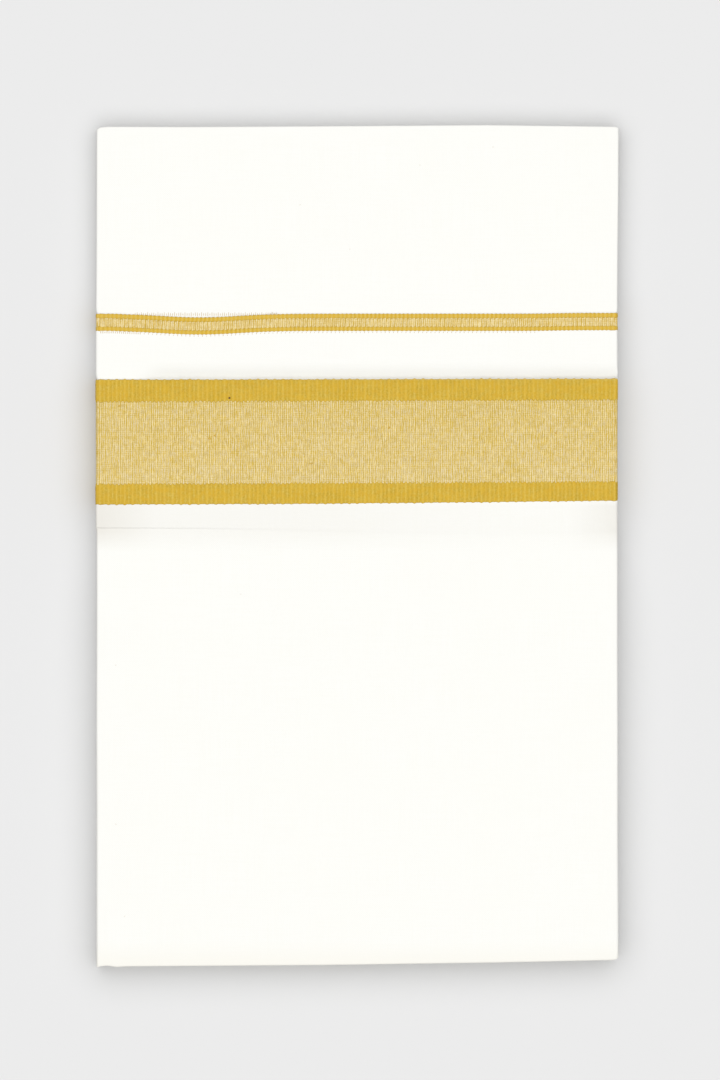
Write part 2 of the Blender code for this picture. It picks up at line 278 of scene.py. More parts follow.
def grid_object(name, points, flat, finish, closed=False, caps=()):
    """A piece of cloth from rings of points."""
    rings, rows = points.shape[:2]
    index = np.arange(rings * rows).reshape(rings, rows)
    if closed:
        index = np.column_stack([index, index[:, 0]])
    corners = [index[:-1, :-1], index[1:, :-1], index[1:, 1:], index[:-1, 1:]]
    faces = np.stack(corners, axis=-1).reshape(-1, 4).tolist() + list(caps)
    print(f"{name}: {rings} stops by {rows} rows, {2 * len(faces)} triangles")
    return cloth_object(name, points.reshape(-1, 3), faces, flat.reshape(-1, 2), finish)


def woven_piece(name, way, section_at, finish):
    rings, flats = [], []
    for stop in way:
        section = section_at(stop)
        rings.append(laid(stop, section.along, section.height, section.lift))
        run = run_along(section.along[:, None])
        middle = len(run) // 2
        run += section.along[middle] - run[middle]
        flats.append(np.column_stack([np.full_like(run, travel_at(stop)), run]))
    return grid_object(name, np.array(rings), np.array(flats), finish)


# %% Turned ends of a section
def fold_under(at, toward, run=6.0, steps=7):
    """A folded end: from inside the pack round a half turn to the outer side."""
    half = FOLD_THICKNESS / 2
    turn = np.linspace(0, math.pi, steps)
    along = join(at - toward * run, at - toward * (half - half * np.sin(turn)))
    lift = join(-FOLD_THICKNESS, -half - half * np.cos(turn))
    return along, lift


def selvedge_under(at, run=4.0, steps=5):
    """The woven edge of one ply, from the outer side round to a short underside."""
    half = CLOTH / 2
    turn = np.linspace(0, math.pi, steps)[1:]
    along = join(at + half * np.sin(turn), at - run)
    lift = join(-half + half * np.cos(turn), -CLOTH)
    return along, lift


# %% [markdown]
# ## Creases and swells
# Pressed cotton is nearly flat, but never quite. A crease is a soft trough or ridge with a
# place, a direction, a length, a width and a depth, and it dies away at both ends. The first
# list is what the face shows, and the second list holds similar ones for the underside.

# %% The relief of the white cloth
Crease = namedtuple("Crease", "x y angle length width depth bend")
FACE_CREASES = (
    (-100, -178.5, 72, 8, 0.8, 0.16, 0.4), (-110, 13, 88, 9, 5, -0.25, 0),
    (108, 12.5, 84, 7, 6, -0.45, 0.5), (60, -120, 8, 60, 7, -0.08, 3),
    (-40, -60, 3, 70, 9, 0.07, -2), (20, -30, 175, 45, 5, -0.06, 2),
    (-70, -140, 100, 30, 4, -0.07, 1), (85, -60, 93, 55, 6, 0.06, -1.5),
    (-20, 145, 2, 60, 8, -0.07, 2), (60, 160, 95, 16, 4, 0.05, 0.6),
    (-60, 125, 6, 30, 4, 0.06, -1),
)
BACK_CREASES = (
    (-30, -90, 5, 70, 5, 0.3, 3), (40, -40, 98, 40, 3.5, 0.26, 1.5),
    (-75, 130, 20, 28, 3, 0.24, -1), (70, 140, 170, 34, 4, 0.3, 2),
    (10, -160, 176, 55, 3, 0.22, -1),
)
SWELLS = ((0.06, 71, 93, 0.4), (0.05, 47, 58, 1.9), (0.03, 29, 37, 4.2), (0.02, 17, 19, 2.6))
FACE_LEFT, FACE_RIGHT, FACE_RUN = -109.7, 110.7, 220.2


def creased(creases, x, y):
    total = np.zeros_like(y)
    for crease in [Crease(*row) for row in creases]:
        turn = math.radians(crease.angle)
        run = (x - crease.x) * math.cos(turn) + (y - crease.y) * math.sin(turn)
        off = (y - crease.y) * math.cos(turn) - (x - crease.x) * math.sin(turn)
        off = off + crease.bend * (run / crease.length) ** 2
        total += crease.depth * np.exp(-(off / crease.width) ** 2 - (run / crease.length) ** 4)
    return total


def swell(x, y):
    return sum(rise * np.sin(x / w + p) * np.cos(y / h + 2 * p) for rise, w, h, p in SWELLS)


def cloth_relief(stop, along):
    """Soft relief of the white cloth at a stop."""
    x = across(stop)
    if stop.part == "face":
        inward = min(x - FACE_LEFT, FACE_RIGHT - x)
        creases = creased(FACE_CREASES, x, along) * ease(0, 2, inward)
        return creases + ease(0, 9, inward) * swell(x, along)
    if stop.part == "back":
        return creased(BACK_CREASES, x, along) + 0.5 * swell(x + 40, along + 25)
    if stop.part in ("spine", "roll"):
        ridges = 0.05 * np.sin(stop.share * 4 * math.pi + along / 31)
        ridges += 0.04 * np.sin(along / 13 + 3 * stop.share)
        return ridges * math.sin(stop.share * math.pi)
    return np.zeros_like(along)


# %% [markdown]
# ## The step under the wide border
# Below the wide border the pack falls away: the strip under the border slopes down to a
# pressed line, and the cloth beyond it lies lower still before it comes up again. The line
# is crisp near the left side and fades to a soft slope on the right. All of this changes the
# height of the ply and not its lift, so the sides of the pack stay where they are.

# %% The pressed line
STEP_LINE = table((-114.2, 7.9), (-70, 7.7), (0, 6.6), (60, 5.6), (114.2, 6.4))
STEP_WIDTH = table((-114.2, 0.35), (-80, 0.5), (-40, 1.4), (20, 3.0), (114.2, 4.0))
STEP_HEIGHT = table((-114.2, 0.45), (-80, 0.35), (-40, 0.2), (20, 0.1), (90, 0.1), (112, 0.25))
STRIP_FALL = table((-114.2, 1.5), (-100, 1.2), (-70, 0.9), (0, 0.65), (70, 0.7), (100, 1.0), (112, 1.5))
FALL_BEYOND = table((-114.2, 0.45), (-95, 0.4), (-60, 0.35), (0, 0.3), (100, 0.35), (112, 0.45))
STRIP_WIDTH, BEYOND_REACH = 12.0, 3.0
COMES_UP = (6.0, 45.0)


def pressed_line(x, along):
    """How much the ply lies higher or lower round the pressed line."""
    above = along - value_at(STEP_LINE, x)
    width = value_at(STEP_WIDTH, x)
    strip_share = np.clip(1 - above / STRIP_WIDTH, 0, 1)
    strip = -value_at(STRIP_FALL, x) * strip_share**1.4
    step = -value_at(STEP_HEIGHT, x) * (1 - ease(-width / 2, width / 2, above))
    beyond = -value_at(FALL_BEYOND, x) * (1 - np.exp(np.minimum(above, 0) / BEYOND_REACH))
    return (strip + step + beyond) * (1 - ease(*COMES_UP, -above))


# %% [markdown]
# ## How the selvedges lie
# For most of its length the selvedge of the wide border lies in a soft valley: the border and
# the strip behind it both go down to where they meet, which leaves a soft shadow. Near the
# left side there is no valley. The narrow border sags where it was handled, and rises a
# little at its right end.

# %% The valley along the wide border and the sag of the narrow one
SELVEDGE_DIP, SELVEDGE_REACH = 1.4, 6.0
STRIP_DIP, STRIP_REACH = 2.6, 3.9
TUCKED, MOST_TUCK = 0.6, 2.5
STRIP_CLOSES, CLOSING_REACH = 0.4, 5.0
SAG, SAG_PLACE, SAG_SPREAD = 1.6, -69.0, 24.0
END_RISE = 0.32


def valley_share(stop):
    """How much of the valley there is at a stop, from 0 to 1."""
    x = across(stop)
    if stop.part == "face":
        return float(ease(-98, -84, x))
    if stop.part == "roll":
        return float(ease(0.35, 1.0, stop.share))
    return 0.0


def selvedge_dip(stop, along):
    """How far the wide border goes down towards its selvedge."""
    near = np.exp(np.minimum(along - WIDE_TOP, 0) / SELVEDGE_REACH)
    return -SELVEDGE_DIP * valley_share(stop) * near


def outer_height(stop, along):
    """Height of the outer ply, which carries the wide border."""
    return value_at(OUTER_PLY, along) + pressed_line(across(stop), along) + selvedge_dip(stop, along)


def middle_height(stop, along):
    """Height of the middle ply. It dips in the valley, and comes up where there is none."""
    behind, valley = np.abs(along - WIDE_TOP), valley_share(stop)
    dips = -STRIP_DIP * valley * np.exp(-((behind / STRIP_REACH) ** 1.6))
    closes = STRIP_CLOSES * (1 - valley) * np.exp(-((behind / CLOSING_REACH) ** 2))
    shown = value_at(MIDDLE_PLY, along) + dips + closes
    tucked = np.minimum(outer_height(stop, along) - TUCKED, shown + MOST_TUCK)
    hidden = ease(0.0, 0.7, WIDE_TOP - along)
    return shown + (tucked - shown) * hidden


def sag(stop):
    """How far the narrow border lies below its straight line."""
    if stop.part in ("spine", "back", "cut"):
        return 0.0
    x = across(stop)
    dips = SAG * math.exp(-((x - SAG_PLACE) / SAG_SPREAD) ** 2) * float(ease(FACE_LEFT, -100, x))
    return dips - END_RISE * float(ease(70, 100, x))


def line(at, climb, stop):
    """Where a woven line that climbs a little across the pack lies at a stop."""
    return at + climb * across(stop)


# %% [markdown]
# ## Finishes
# A finish is built from the flat coordinates, so it can't slide when the camera moves. The
# tones are what the face shows under this light, so a tone is divided by the light on the
# face before it becomes a base colour. Small helpers keep the node trees readable: a wave
# gives even threads, streaks give uneven ones, and a ramp says where a tone comes and goes.

# %% Helpers for finishes
FACE_LIGHT = 1.32


def tone(red, green, blue):
    """A base colour from the tone that the lit face shows, from 0 to 255."""
    shown = [value / 255 for value in (red, green, blue)]
    linear = [((v + 0.055) / 1.055) ** 2.4 for v in shown]
    return (*[min(1.0, v / FACE_LIGHT) for v in linear], 1.0)


class Finish:
    """A material whose nodes read the flat coordinates of the cloth in millimetres."""

    def __init__(self, name, roughness, metallic=0.0, sheen=0.0, specular=0.3):
        self.material = bpy.data.materials.new(name)
        self.material.use_nodes = True
        self.tree = self.material.node_tree
        self.shader = self.tree.nodes["Principled BSDF"]
        sockets = self.shader.inputs
        sockets["Roughness"].default_value = roughness
        sockets["Metallic"].default_value = metallic
        sockets["Sheen Weight"].default_value = sheen
        sockets["Sheen Roughness"].default_value = 0.45
        sockets["Specular IOR Level"].default_value = specular
        flat = self.node("UVMap", {}, "UV", uv_map="cloth")
        self.u = self.node("SeparateXYZ", {0: flat}, "X")
        self.v = self.u.node.outputs["Y"]

    def feed(self, node, inputs):
        """Gives each input a number or colour, or the output of another node."""
        for name, value in inputs.items():
            if isinstance(value, bpy.types.NodeSocket):
                self.tree.links.new(value, node.inputs[name])
            else:
                node.inputs[name].default_value = value

    def node(self, kind, inputs, output=0, **settings):
        """Adds a node, feeds its inputs and returns one of its outputs."""
        made = self.tree.nodes.new("ShaderNode" + kind)
        for key, value in settings.items():
            setattr(made, key, value)
        self.feed(made, inputs)
        return made.outputs[output]

    def calc(self, operation, first, second=0.0):
        return self.node("Math", {0: first, 1: second}, operation=operation)

    def plus(self, first, *others):
        for other in others:
            first = self.calc("ADD", first, other)
        return first

    def times(self, first, second):
        return self.calc("MULTIPLY", first, second)

    def mixture(self, *weighted):
        """The sum of values, each given with its weight."""
        return self.plus(*[self.times(value, weight) for value, weight in weighted])

    def around(self, value, strength):
        """A share from 0 to 1 turned into a deviation from its middle, times a strength."""
        return self.times(self.calc("SUBTRACT", value, 0.5), strength)

    def streaks(self, wide, tall, seed=0.0, detail=2.0):
        """Noise in patches that are so many millimetres wide and tall, from 0 to 1."""
        u, v = self.calc("DIVIDE", self.u, wide), self.calc("DIVIDE", self.v, tall)
        place = self.node("CombineXYZ", {0: u, 1: v, 2: seed})
        return self.node("TexNoise", {"Vector": place, "Scale": 1.0, "Detail": detail}, "Fac")

    def wave(self, along, pitch, wander=None):
        """A cosine of that pitch along one flat coordinate, from 0 to 1."""
        phase = self.times(along, 2 * math.pi / pitch)
        if wander is not None:
            phase = self.plus(phase, wander)
        return self.plus(self.times(self.calc("COSINE", phase), 0.5), 0.5)

    def ramp(self, share, low, high, first=0.0, last=1.0):
        """A colour or number that goes from first to last while share goes from low to high."""
        ends = {"From Min": low, "From Max": high, "To Min": first, "To Max": last}
        return self.node("MapRange", {"Value": share, **ends}, "Result")

    def blend(self, share, first, second):
        return self.node("Mix", {0: share, 6: first, 7: second}, 2, data_type="RGBA")

    def close(self, colour, height, depth):
        """Joins up the colour and a bump whose full height is so many millimetres."""
        bump = {"Strength": 1.0, "Distance": depth * MM, "Height": height}
        self.feed(self.shader, {"Base Color": colour, "Normal": self.node("Bump", bump, "Normal")})
        return self.material


# %% [markdown]
# ## White cotton
# Fine cotton in plain weave: each warp thread goes over one weft thread and under the next.
# The difference of two waves gives that chequer of little bumps. Hand-spun yarn is uneven,
# so long narrow streaks in both directions make some threads a trace thicker and creamier.
# The strip along the pressed line and the cloth towards the bottom fold get painted shade.

# %% The white cotton finish
COTTON_PITCH, WEAVE_BUMP = 0.84, 0.05
# where the painted shade on the strip along the pressed line fades out above and below
STRIP_FADES_ABOVE, STRIP_FADES_BELOW = (20.5, 17.5), (-2.5, 6.5)
# where the painted shade towards the bottom fold begins and where it is full
BOTTOM_PAINTED_SHADE = (-172.0, -182.0)


def painted_strip_shade(cotton):
    """Where shade is painted on the strip along the pressed line: most at its two ends, on the face."""
    above, below = cotton.ramp(cotton.v, *STRIP_FADES_ABOVE), cotton.ramp(cotton.v, *STRIP_FADES_BELOW)
    strip = cotton.times(above, below)
    away = cotton.calc("ABSOLUTE", cotton.plus(cotton.u, 2.0))
    at_ends = cotton.ramp(away, 90.0, 114.0, 0.0, 0.7)
    leftward = cotton.ramp(cotton.u, -70.0, 10.0, 0.1, 0.3)
    on_face = cotton.ramp(away, 135.0, 120.0)
    return cotton.times(strip, cotton.times(cotton.plus(at_ends, leftward), on_face))


def cotton_finish():
    cotton = Finish("white_cotton", roughness=0.85, sheen=0.06)
    warp, weft = cotton.wave(cotton.u, COTTON_PITCH), cotton.wave(cotton.v, COTTON_PITCH)
    chequer = cotton.calc("ABSOLUTE", cotton.calc("SUBTRACT", warp, weft))
    yarn = cotton.plus(cotton.streaks(0.5, 26.0, seed=1.0), cotton.streaks(22.0, 0.5, seed=2.0))
    yarn = cotton.times(yarn, 0.5)
    cloud = cotton.ramp(cotton.streaks(38.0, 30.0, seed=3.0), 0.45, 0.7, 0.0, 0.5)
    white, cream = tone(255.8, 255.5, 251.6), tone(254.6, 254.1, 248.6)
    colour = cotton.blend(cotton.ramp(yarn, 0.35, 0.62), white, cream)
    colour = cotton.blend(cloud, colour, tone(254.9, 254.4, 248.8))
    # painted shade on the strip along the pressed line
    colour = cotton.blend(painted_strip_shade(cotton), colour, tone(241.6, 238.6, 231.0))
    # painted shade, darker and warmer towards the bottom fold
    painted_fold_shade = cotton.ramp(cotton.v, *BOTTOM_PAINTED_SHADE, 0.0, 0.6)
    colour = cotton.blend(painted_fold_shade, colour, tone(253.0, 250.0, 240.0))
    return cotton.close(colour, cotton.mixture((chequer, 0.55), (yarn, 0.6)), WEAVE_BUMP)


COTTON = cotton_finish()

# %% [markdown]
# ## Gold band
# The solid gold stripes are packed weft threads wrapped in gold, which lie in fine ribs that
# gather in groups of four. The mesh has those ribs, and the finish paints shade on them: lighter
# on a crest, deeper in a groove, with threads that differ and painted lustre in streaks.
# The cords of the narrow border share it. They are lighter, and beaded like their mesh.

# %% The gold band finish
THREAD = 0.907
RIB, RIB_GROUP = 2 * THREAD, 4 * THREAD
RIB_WANDER = ((0.5, 17.0), (0.25, 7.3))
BEAD_TURN, BEAD_WANDER, BEAD_SWAY = 1.3, 0.3, 11.0
LOWER_CORD_TO, UPPER_CORD_FROM = 96.0, 99.0


def rib_phase(travel):
    """Distance along the ribs, which wander a little."""
    return travel + sum(reach * math.sin(travel / run) for reach, run in RIB_WANDER)


def bead_tone(gold):
    """The tone of a cord, deep on its beads and pale between them."""
    turn = gold.ramp(gold.v, LOWER_CORD_TO, UPPER_CORD_FROM, -BEAD_TURN, BEAD_TURN)
    sway = gold.calc("SINE", gold.plus(gold.calc("DIVIDE", gold.u, BEAD_SWAY), turn))
    wander = gold.plus(gold.times(sway, BEAD_WANDER * 2 * math.pi / RIB), turn)
    return gold.blend(gold.wave(gold.u, RIB, wander=wander), tone(233, 201, 97), tone(217, 171, 38))


def gold_finish():
    gold = Finish("gold_band", roughness=0.5, metallic=0.25)
    waves = [(gold.calc("SINE", gold.calc("DIVIDE", gold.u, run)), reach) for reach, run in RIB_WANDER]
    place = gold.plus(gold.u, gold.mixture(*waves))
    group, ribs, fine = [gold.wave(place, pitch) for pitch in (RIB_GROUP, RIB, THREAD)]
    threads, broad = gold.streaks(0.7, 0.8, seed=4.0), gold.streaks(11.0, 6.0, seed=6.0)
    # painted shade and highlight: the rib waves make the grooves deeper and the crests lighter; the
    # threads and broad streaks are the yarn's own uneven tone
    crest = gold.mixture((ribs, 0.5), (group, 0.24), (fine, 0.12), (threads, 1.6), (broad, 0.6))
    colour = gold.blend(gold.ramp(crest, 1.06, 2.01), tone(191, 156, 25), tone(219, 189, 83))
    patches = gold.ramp(gold.streaks(3.6, 1.8, seed=5.0), 0.45, 0.68, 0.0, 0.5)
    colour = gold.blend(patches, colour, tone(211, 165, 34))
    # painted lustre: streaks where the gold turns a richer tone, standing in for the metal's sheen
    upright, level = gold.streaks(0.9, 3.2, seed=7.0), gold.streaks(9.0, 4.0, seed=8.0)
    painted_shine = gold.mixture((upright, 1.0), (group, 0.1), (level, 0.5))
    colour = gold.blend(gold.ramp(painted_shine, 0.66, 0.96, 0.0, 0.55), colour, tone(220, 176, 33))
    colour = gold.blend(gold.ramp(gold.v, 80.0, 90.0, 0.0, 0.5), colour, bead_tone(gold))
    selvedge = gold.times(gold.ramp(gold.v, 72.1, 72.8, 0.0, 0.5), gold.ramp(gold.v, 80.0, 78.0))
    colour = gold.blend(selvedge, colour, tone(230, 202, 110))
    return gold.close(colour, gold.mixture((fine, 0.4), (threads, 0.6)), WEAVE_BUMP)


GOLD = gold_finish()

# %% [markdown]
# ## Gold tissue
# Between the two stripes white threads cross gold ones, so the cloth looks cream and gold at
# once. The white threads keep an even pitch, but they drift and their contrast comes and
# goes. A second wave, a little aside of the first, paints a lustre that makes the gold bright
# on some threads and dull on others, and short level streaks give thick gold yarn. The mesh
# is made the same way.

# %% The tissue finish
WEFT_PITCH = 0.93


def tissue_finish(name, golds, creams, second_pitch, seed, paler_below):
    """Gold crossed by white threads. Golds and creams are given dull and bright, for a painted lustre.
    """
    tissue = Finish(name, roughness=0.6, metallic=0.1)

    def streaks(wide, tall, number, detail=2.0):
        return tissue.streaks(wide, tall, seed + number, detail)

    drift = tissue.times(streaks(6.0, 4.0, 0), 5.5)
    threads = tissue.wave(tissue.u, THREAD, wander=drift)
    aside = tissue.wave(tissue.u, THREAD, wander=tissue.plus(drift, 1.6))
    second = tissue.wave(tissue.u, second_pitch, wander=drift)
    weft = tissue.wave(tissue.v, WEFT_PITCH, wander=tissue.times(drift, 0.5))
    clear = tissue.ramp(streaks(2.5, 4.0, 1), 0.35, 0.62, 0.25, 0.9)
    rhythm = tissue.ramp(streaks(3.0, 5.0, 2), 0.42, 0.62, 0.05, 0.5)
    crossed = tissue.ramp(streaks(4.0, 3.0, 3), 0.42, 0.62, 0.05, 0.3)
    level = tissue.ramp(tissue.v, TISSUE_TOP, TISSUE_FOOT, 0.5 - paler_below, 0.5 + paler_below)
    white = tissue.plus(
        level, tissue.around(threads, clear), tissue.around(streaks(9.0, 13.0, 8), 0.4),
        tissue.around(second, rhythm), tissue.around(weft, crossed),
        tissue.around(streaks(0.7, 3.5, 4, 1.0), 0.95), tissue.around(streaks(0.6, 0.45, 5, 1.0), 1.0),
    )
    # painted lustre: the gold and the cream turn bright on some threads and dull on others
    painted_lustre = tissue.plus(
        0.5, tissue.around(aside, 0.8), tissue.around(streaks(0.5, 2.6, 9), 3.0),
        tissue.around(streaks(5.0, 7.0, 10), 0.7),
    )
    gold, cream = tissue.blend(painted_lustre, *golds), tissue.blend(painted_lustre, *creams)
    colour = tissue.blend(tissue.ramp(white, 0.0, 1.0), gold, cream)
    colour = tissue.blend(tissue.ramp(streaks(2.6, 1.6, 6), 0.45, 0.7, 0.0, 0.4), colour, gold)
    colour = tissue.blend(tissue.ramp(streaks(2.0, 0.4, 7), 0.6, 0.74, 0.0, 0.7), colour, gold)
    return tissue.close(colour, white, WEAVE_BUMP)


# each pair is dull then bright, for the painted lustre
TISSUE_GOLDS = tone(196, 166, 57), tone(214, 177, 42)
TISSUE_CREAMS = tone(233, 217, 181), tone(251, 230, 166)
MESH_GOLDS = tone(199, 165, 52), tone(213, 173, 42)
MESH_CREAMS = tone(243, 227, 184), tone(254, 235, 174)
TISSUE = tissue_finish(
    "gold_tissue", TISSUE_GOLDS, TISSUE_CREAMS, second_pitch=1.34, seed=11.0, paler_below=0.04
)
MESH = tissue_finish("gold_mesh", MESH_GOLDS, MESH_CREAMS, second_pitch=RIB, seed=21.0, paler_below=0.0)

# %% [markdown]
# ## The lower cloth
# The largest stretch: outer ply, from the folded bottom end up to the wide border, all the
# way round the pack. Its bottom end is a true fold with a half turn, and its top end runs in
# under the gold stripe, because on the real cloth the stripe is woven into the same ply.

# %% Lower cloth
CLOTH_WAY = way_round(14, 150, 20, 110)
UNDER_BAND, UNDER_DEPTH = 1.2, 0.14
UNDER_EDGE, FOLD_RUN = 0.6 * UNDER_BAND, 1.4


def lower_section(stop):
    foot = float(value_at(BOTTOM_EDGE, across(stop)))
    top = float(value_at(WIDE_FOOT, across(stop)))
    fold_along, fold_lift = fold_under(foot, -1)
    plain = np.concatenate([
        np.linspace(foot + FOLD_RUN, -6, 112), np.linspace(-5, 4, 9),
        np.linspace(4.6, 9.4, 25), np.linspace(10.2, top, 9),
    ])
    along = join(fold_along, plain, top + UNDER_BAND)
    relief = cloth_relief(stop, along) * ease(foot, foot + 5, along)
    lift = join(fold_lift, np.zeros_like(plain), -UNDER_DEPTH) + relief
    return Section(along, outer_height(stop, along), lift)


lower_cloth = woven_piece("lower_cloth", CLOTH_WAY, lower_section, COTTON)

# %% [markdown]
# ## The middle and upper cloth
# The middle strip belongs to the next ply and starts out of sight under the wide border. It
# comes out in the valley along that border's selvedge. The upper cloth lies one ply deeper
# again, starts under the narrow border and ends in the fold at the top of the pack.

# %% Middle cloth
RUN_UNDER, INSET_UNDER, STRIP_RELIEF = 8.0, 0.5, 0.7


def middle_section(stop):
    top = NARROW_FOOT - sag(stop)
    along = join(
        np.linspace(WIDE_TOP - RUN_UNDER, WIDE_TOP - 1.2, 5),
        np.linspace(WIDE_TOP - 0.8, WIDE_TOP - 0.1, 4),
        np.linspace(WIDE_TOP + 0.3, WIDE_TOP + 10, 21),
        np.linspace(WIDE_TOP + 11, top, 9), top + UNDER_EDGE,
    )
    under = -INSET_UNDER * (1 - ease(WIDE_TOP - 0.6, WIDE_TOP + 2.5, along))
    lift = under + STRIP_RELIEF * cloth_relief(stop, along)
    lift[-1] -= UNDER_DEPTH
    return Section(along, middle_height(stop, along) - under, lift)


middle_cloth = woven_piece("middle_cloth", CLOTH_WAY, middle_section, COTTON)

# %% Upper cloth
def upper_section(stop):
    top = float(value_at(TOP_EDGE, across(stop)))
    fold_along, fold_lift = fold_under(top, 1)
    plain = np.concatenate([
        np.linspace(NARROW_TOP - RUN_UNDER, NARROW_TOP - 2, 4),
        np.linspace(NARROW_TOP - 1, NARROW_TOP + 12, 20), np.linspace(115, top - FOLD_RUN, 42),
    ])
    along = join(plain, fold_along[::-1])
    under = -INSET_UNDER * (1 - ease(NARROW_TOP - 0.3, NARROW_TOP + 2.5, along))
    relief = cloth_relief(stop, along) * (1 - ease(top - 5, top, along))
    lift = join(np.zeros_like(plain), fold_lift[::-1]) + relief + under
    return Section(along, value_at(INNER_PLY, along) - under, lift)


upper_cloth = woven_piece("upper_cloth", CLOTH_WAY, upper_section, COTTON)

# %% [markdown]
# ## The wide border
# Two ribbed stripes with the tissue between them. The ribs are real relief in the mesh: fine
# ribs, gathered in groups, and each group bulges at the edge of the stripe, so the edges are
# scalloped. The upper stripe is also the selvedge, so its section ends in a thin turned edge.
# One function gives the section of a stripe, and the narrow border's cords use it too.

# %% Ribbed stripes
BAND_WAY = way_round(24, 760, 52, 380)
BAND_REST, RIB_RISE, GROUP_RISE, THREAD_RISE = 0.04, 0.12, 0.05, 0.03
SCALLOP, TOOTH = 0.38, 0.32
EDGE_DEPTH = 0.03
BAND_ROWS = np.array([0.0, 0.03, 0.1, 0.25, 0.4, 0.55, 0.7, 0.82, 0.92, 0.98])
BAND_ROUNDING = np.array([0.0, 0.3, 0.8, 1, 1, 1, 1, 1, 0.8, 0.3])


def crest(place, pitch, turn=0.0):
    """A cosine of that pitch, from 0 in a groove to 1 on a crest."""
    return 0.5 + 0.5 * math.cos(2 * math.pi * place / pitch + turn)


def rib(place):
    """The rise of the ribs at a place on the way, and how far a scallop reaches out there."""
    uneven = 1 + 0.22 * math.sin(place / 5.1) + 0.16 * math.sin(place / 2.3 + 1)
    group, one, fine = [crest(place, pitch) for pitch in (RIB_GROUP, RIB, THREAD)]
    rise = uneven * (GROUP_RISE * group + RIB_RISE * one + THREAD_RISE * fine)
    return rise, SCALLOP * uneven * (0.6 * group + 0.4 * one)


def stripe_section(stop, low, high, out, tooth, rows, lift, height_at, selvedge):
    """A stripe whose outer edge is scalloped and whose inner edge is toothed."""
    if selvedge:
        low, high, low_lift = low - tooth, high + out, -EDGE_DEPTH
        end, end_lift = selvedge_under(high)
    else:
        low, high, low_lift = low - out, high + tooth, -UNDER_DEPTH
        end, end_lift = high, -EDGE_DEPTH
    along = join(low, low + (high - low) * rows, end)
    return Section(along, height_at(stop, along), join(low_lift, lift, end_lift))


def band_section(stop, low, high, selvedge):
    place = rib_phase(travel_at(stop))
    rise, reach = rib(place)
    out = reach - SCALLOP / 2
    tooth = TOOTH * (math.cos(2 * math.pi * place / RIB) + 0.5 * math.sin(place / 1.9))
    rows, lift = BAND_ROWS, BAND_REST + rise * BAND_ROUNDING
    if not selvedge:
        rows, lift = join(rows, 1.0), join(lift, BAND_REST)
    return stripe_section(stop, low, high, out, tooth, rows, lift, outer_height, selvedge)


def upper_band_section(stop):
    low = line(TISSUE_TOP, TISSUE_TOP_CLIMB, stop)
    return band_section(stop, low, line(WIDE_TOP - SCALLOP / 2, WIDE_TOP_CLIMB, stop), True)


def lower_band_section(stop):
    low = float(value_at(WIDE_FOOT, across(stop)))
    return band_section(stop, low, line(TISSUE_FOOT, TISSUE_FOOT_CLIMB, stop), False)


wide_upper_band = woven_piece("wide_upper_band", BAND_WAY, upper_band_section, GOLD)
wide_lower_band = woven_piece("wide_lower_band", BAND_WAY, lower_band_section, GOLD)

# %% Tissue
TISSUE_WAY = way_round(16, 380, 30, 190)
TISSUE_RIPPLE, TISSUE_RELIEF = 0.035, 0.4


def tissue_section(stop):
    low = line(TISSUE_FOOT, TISSUE_FOOT_CLIMB, stop) - UNDER_BAND
    high = line(TISSUE_TOP, TISSUE_TOP_CLIMB, stop) + UNDER_BAND
    along = join(low, np.linspace(low + UNDER_EDGE, high - UNDER_EDGE, 30), high)
    ripple = TISSUE_RIPPLE * np.sin(travel_at(stop) / 1.7 + 0.8 * np.sin(along / 6))
    lift = ripple + TISSUE_RELIEF * cloth_relief(stop, along)
    lift[[0, -1]] -= UNDER_DEPTH
    return Section(along, outer_height(stop, along), lift)


wide_tissue = woven_piece("wide_tissue", TISSUE_WAY, tissue_section, TISSUE)

# %% [markdown]
# ## The narrow border
# The other selvedge has two gold cords with an open stripe of gold mesh between them. A cord
# is a rounded rib along the cloth, beaded by the threads that cross it. Its outer edge is
# scalloped like the wide border's, only finer.

# %% Narrow border
CORD_WIDTH, CORD_RISE, BEAD_REACH = 1.8, 0.16, 0.22
MESH_RIPPLE, MESH_PITCH, MESH_UNDER = 0.05, 1.75, 0.6


def bead(travel, turn):
    return crest(travel + BEAD_WANDER * math.sin(travel / BEAD_SWAY + turn), RIB, turn)


def cord_section(stop, low, selvedge):
    travel, side = travel_at(stop), 1 if selvedge else -1
    swelling = bead(travel, BEAD_TURN * side)
    out = BEAD_REACH * (swelling - 0.5)
    tooth = 0.6 * TOOTH * math.cos(2 * math.pi * travel / RIB + side)
    rows = np.linspace(0, 1, 8)
    lift = CORD_RISE * (0.72 + 0.28 * swelling) * np.sin(math.pi * np.clip(rows, 0.04, 0.96)) ** 0.7
    return stripe_section(stop, low, low + CORD_WIDTH, out, tooth, rows, lift, middle_height, selvedge)


def upper_cord_section(stop):
    return cord_section(stop, NARROW_TOP - CORD_WIDTH - sag(stop), True)


def lower_cord_section(stop):
    return cord_section(stop, NARROW_FOOT - sag(stop), False)


def mesh_section(stop):
    low = NARROW_FOOT - sag(stop) + CORD_WIDTH
    high = NARROW_TOP - sag(stop) - CORD_WIDTH
    along = join(low - MESH_UNDER, np.linspace(low, high, 9), high + MESH_UNDER)
    ripple = MESH_RIPPLE * math.cos(2 * math.pi * travel_at(stop) / MESH_PITCH)
    lift = np.full_like(along, ripple)
    lift[[0, -1]] = -UNDER_DEPTH
    return Section(along, middle_height(stop, along), lift)


narrow_upper_cord = woven_piece("narrow_upper_cord", BAND_WAY, upper_cord_section, GOLD)
narrow_lower_cord = woven_piece("narrow_lower_cord", BAND_WAY, lower_cord_section, GOLD)
narrow_mesh = woven_piece("narrow_mesh", BAND_WAY, mesh_section, MESH)

# %% [markdown]
# ## The folded layers inside
# Under the shown cloth the rest of the same cloth goes to and fro. A pack that is folded in
# half four times has sixteen layers. Two of them are the face and the underside, and the
# other fourteen are one ribbon whose turns nest in each other. The list gives the height
# order in which the ribbon visits the layers, counted from the underside.

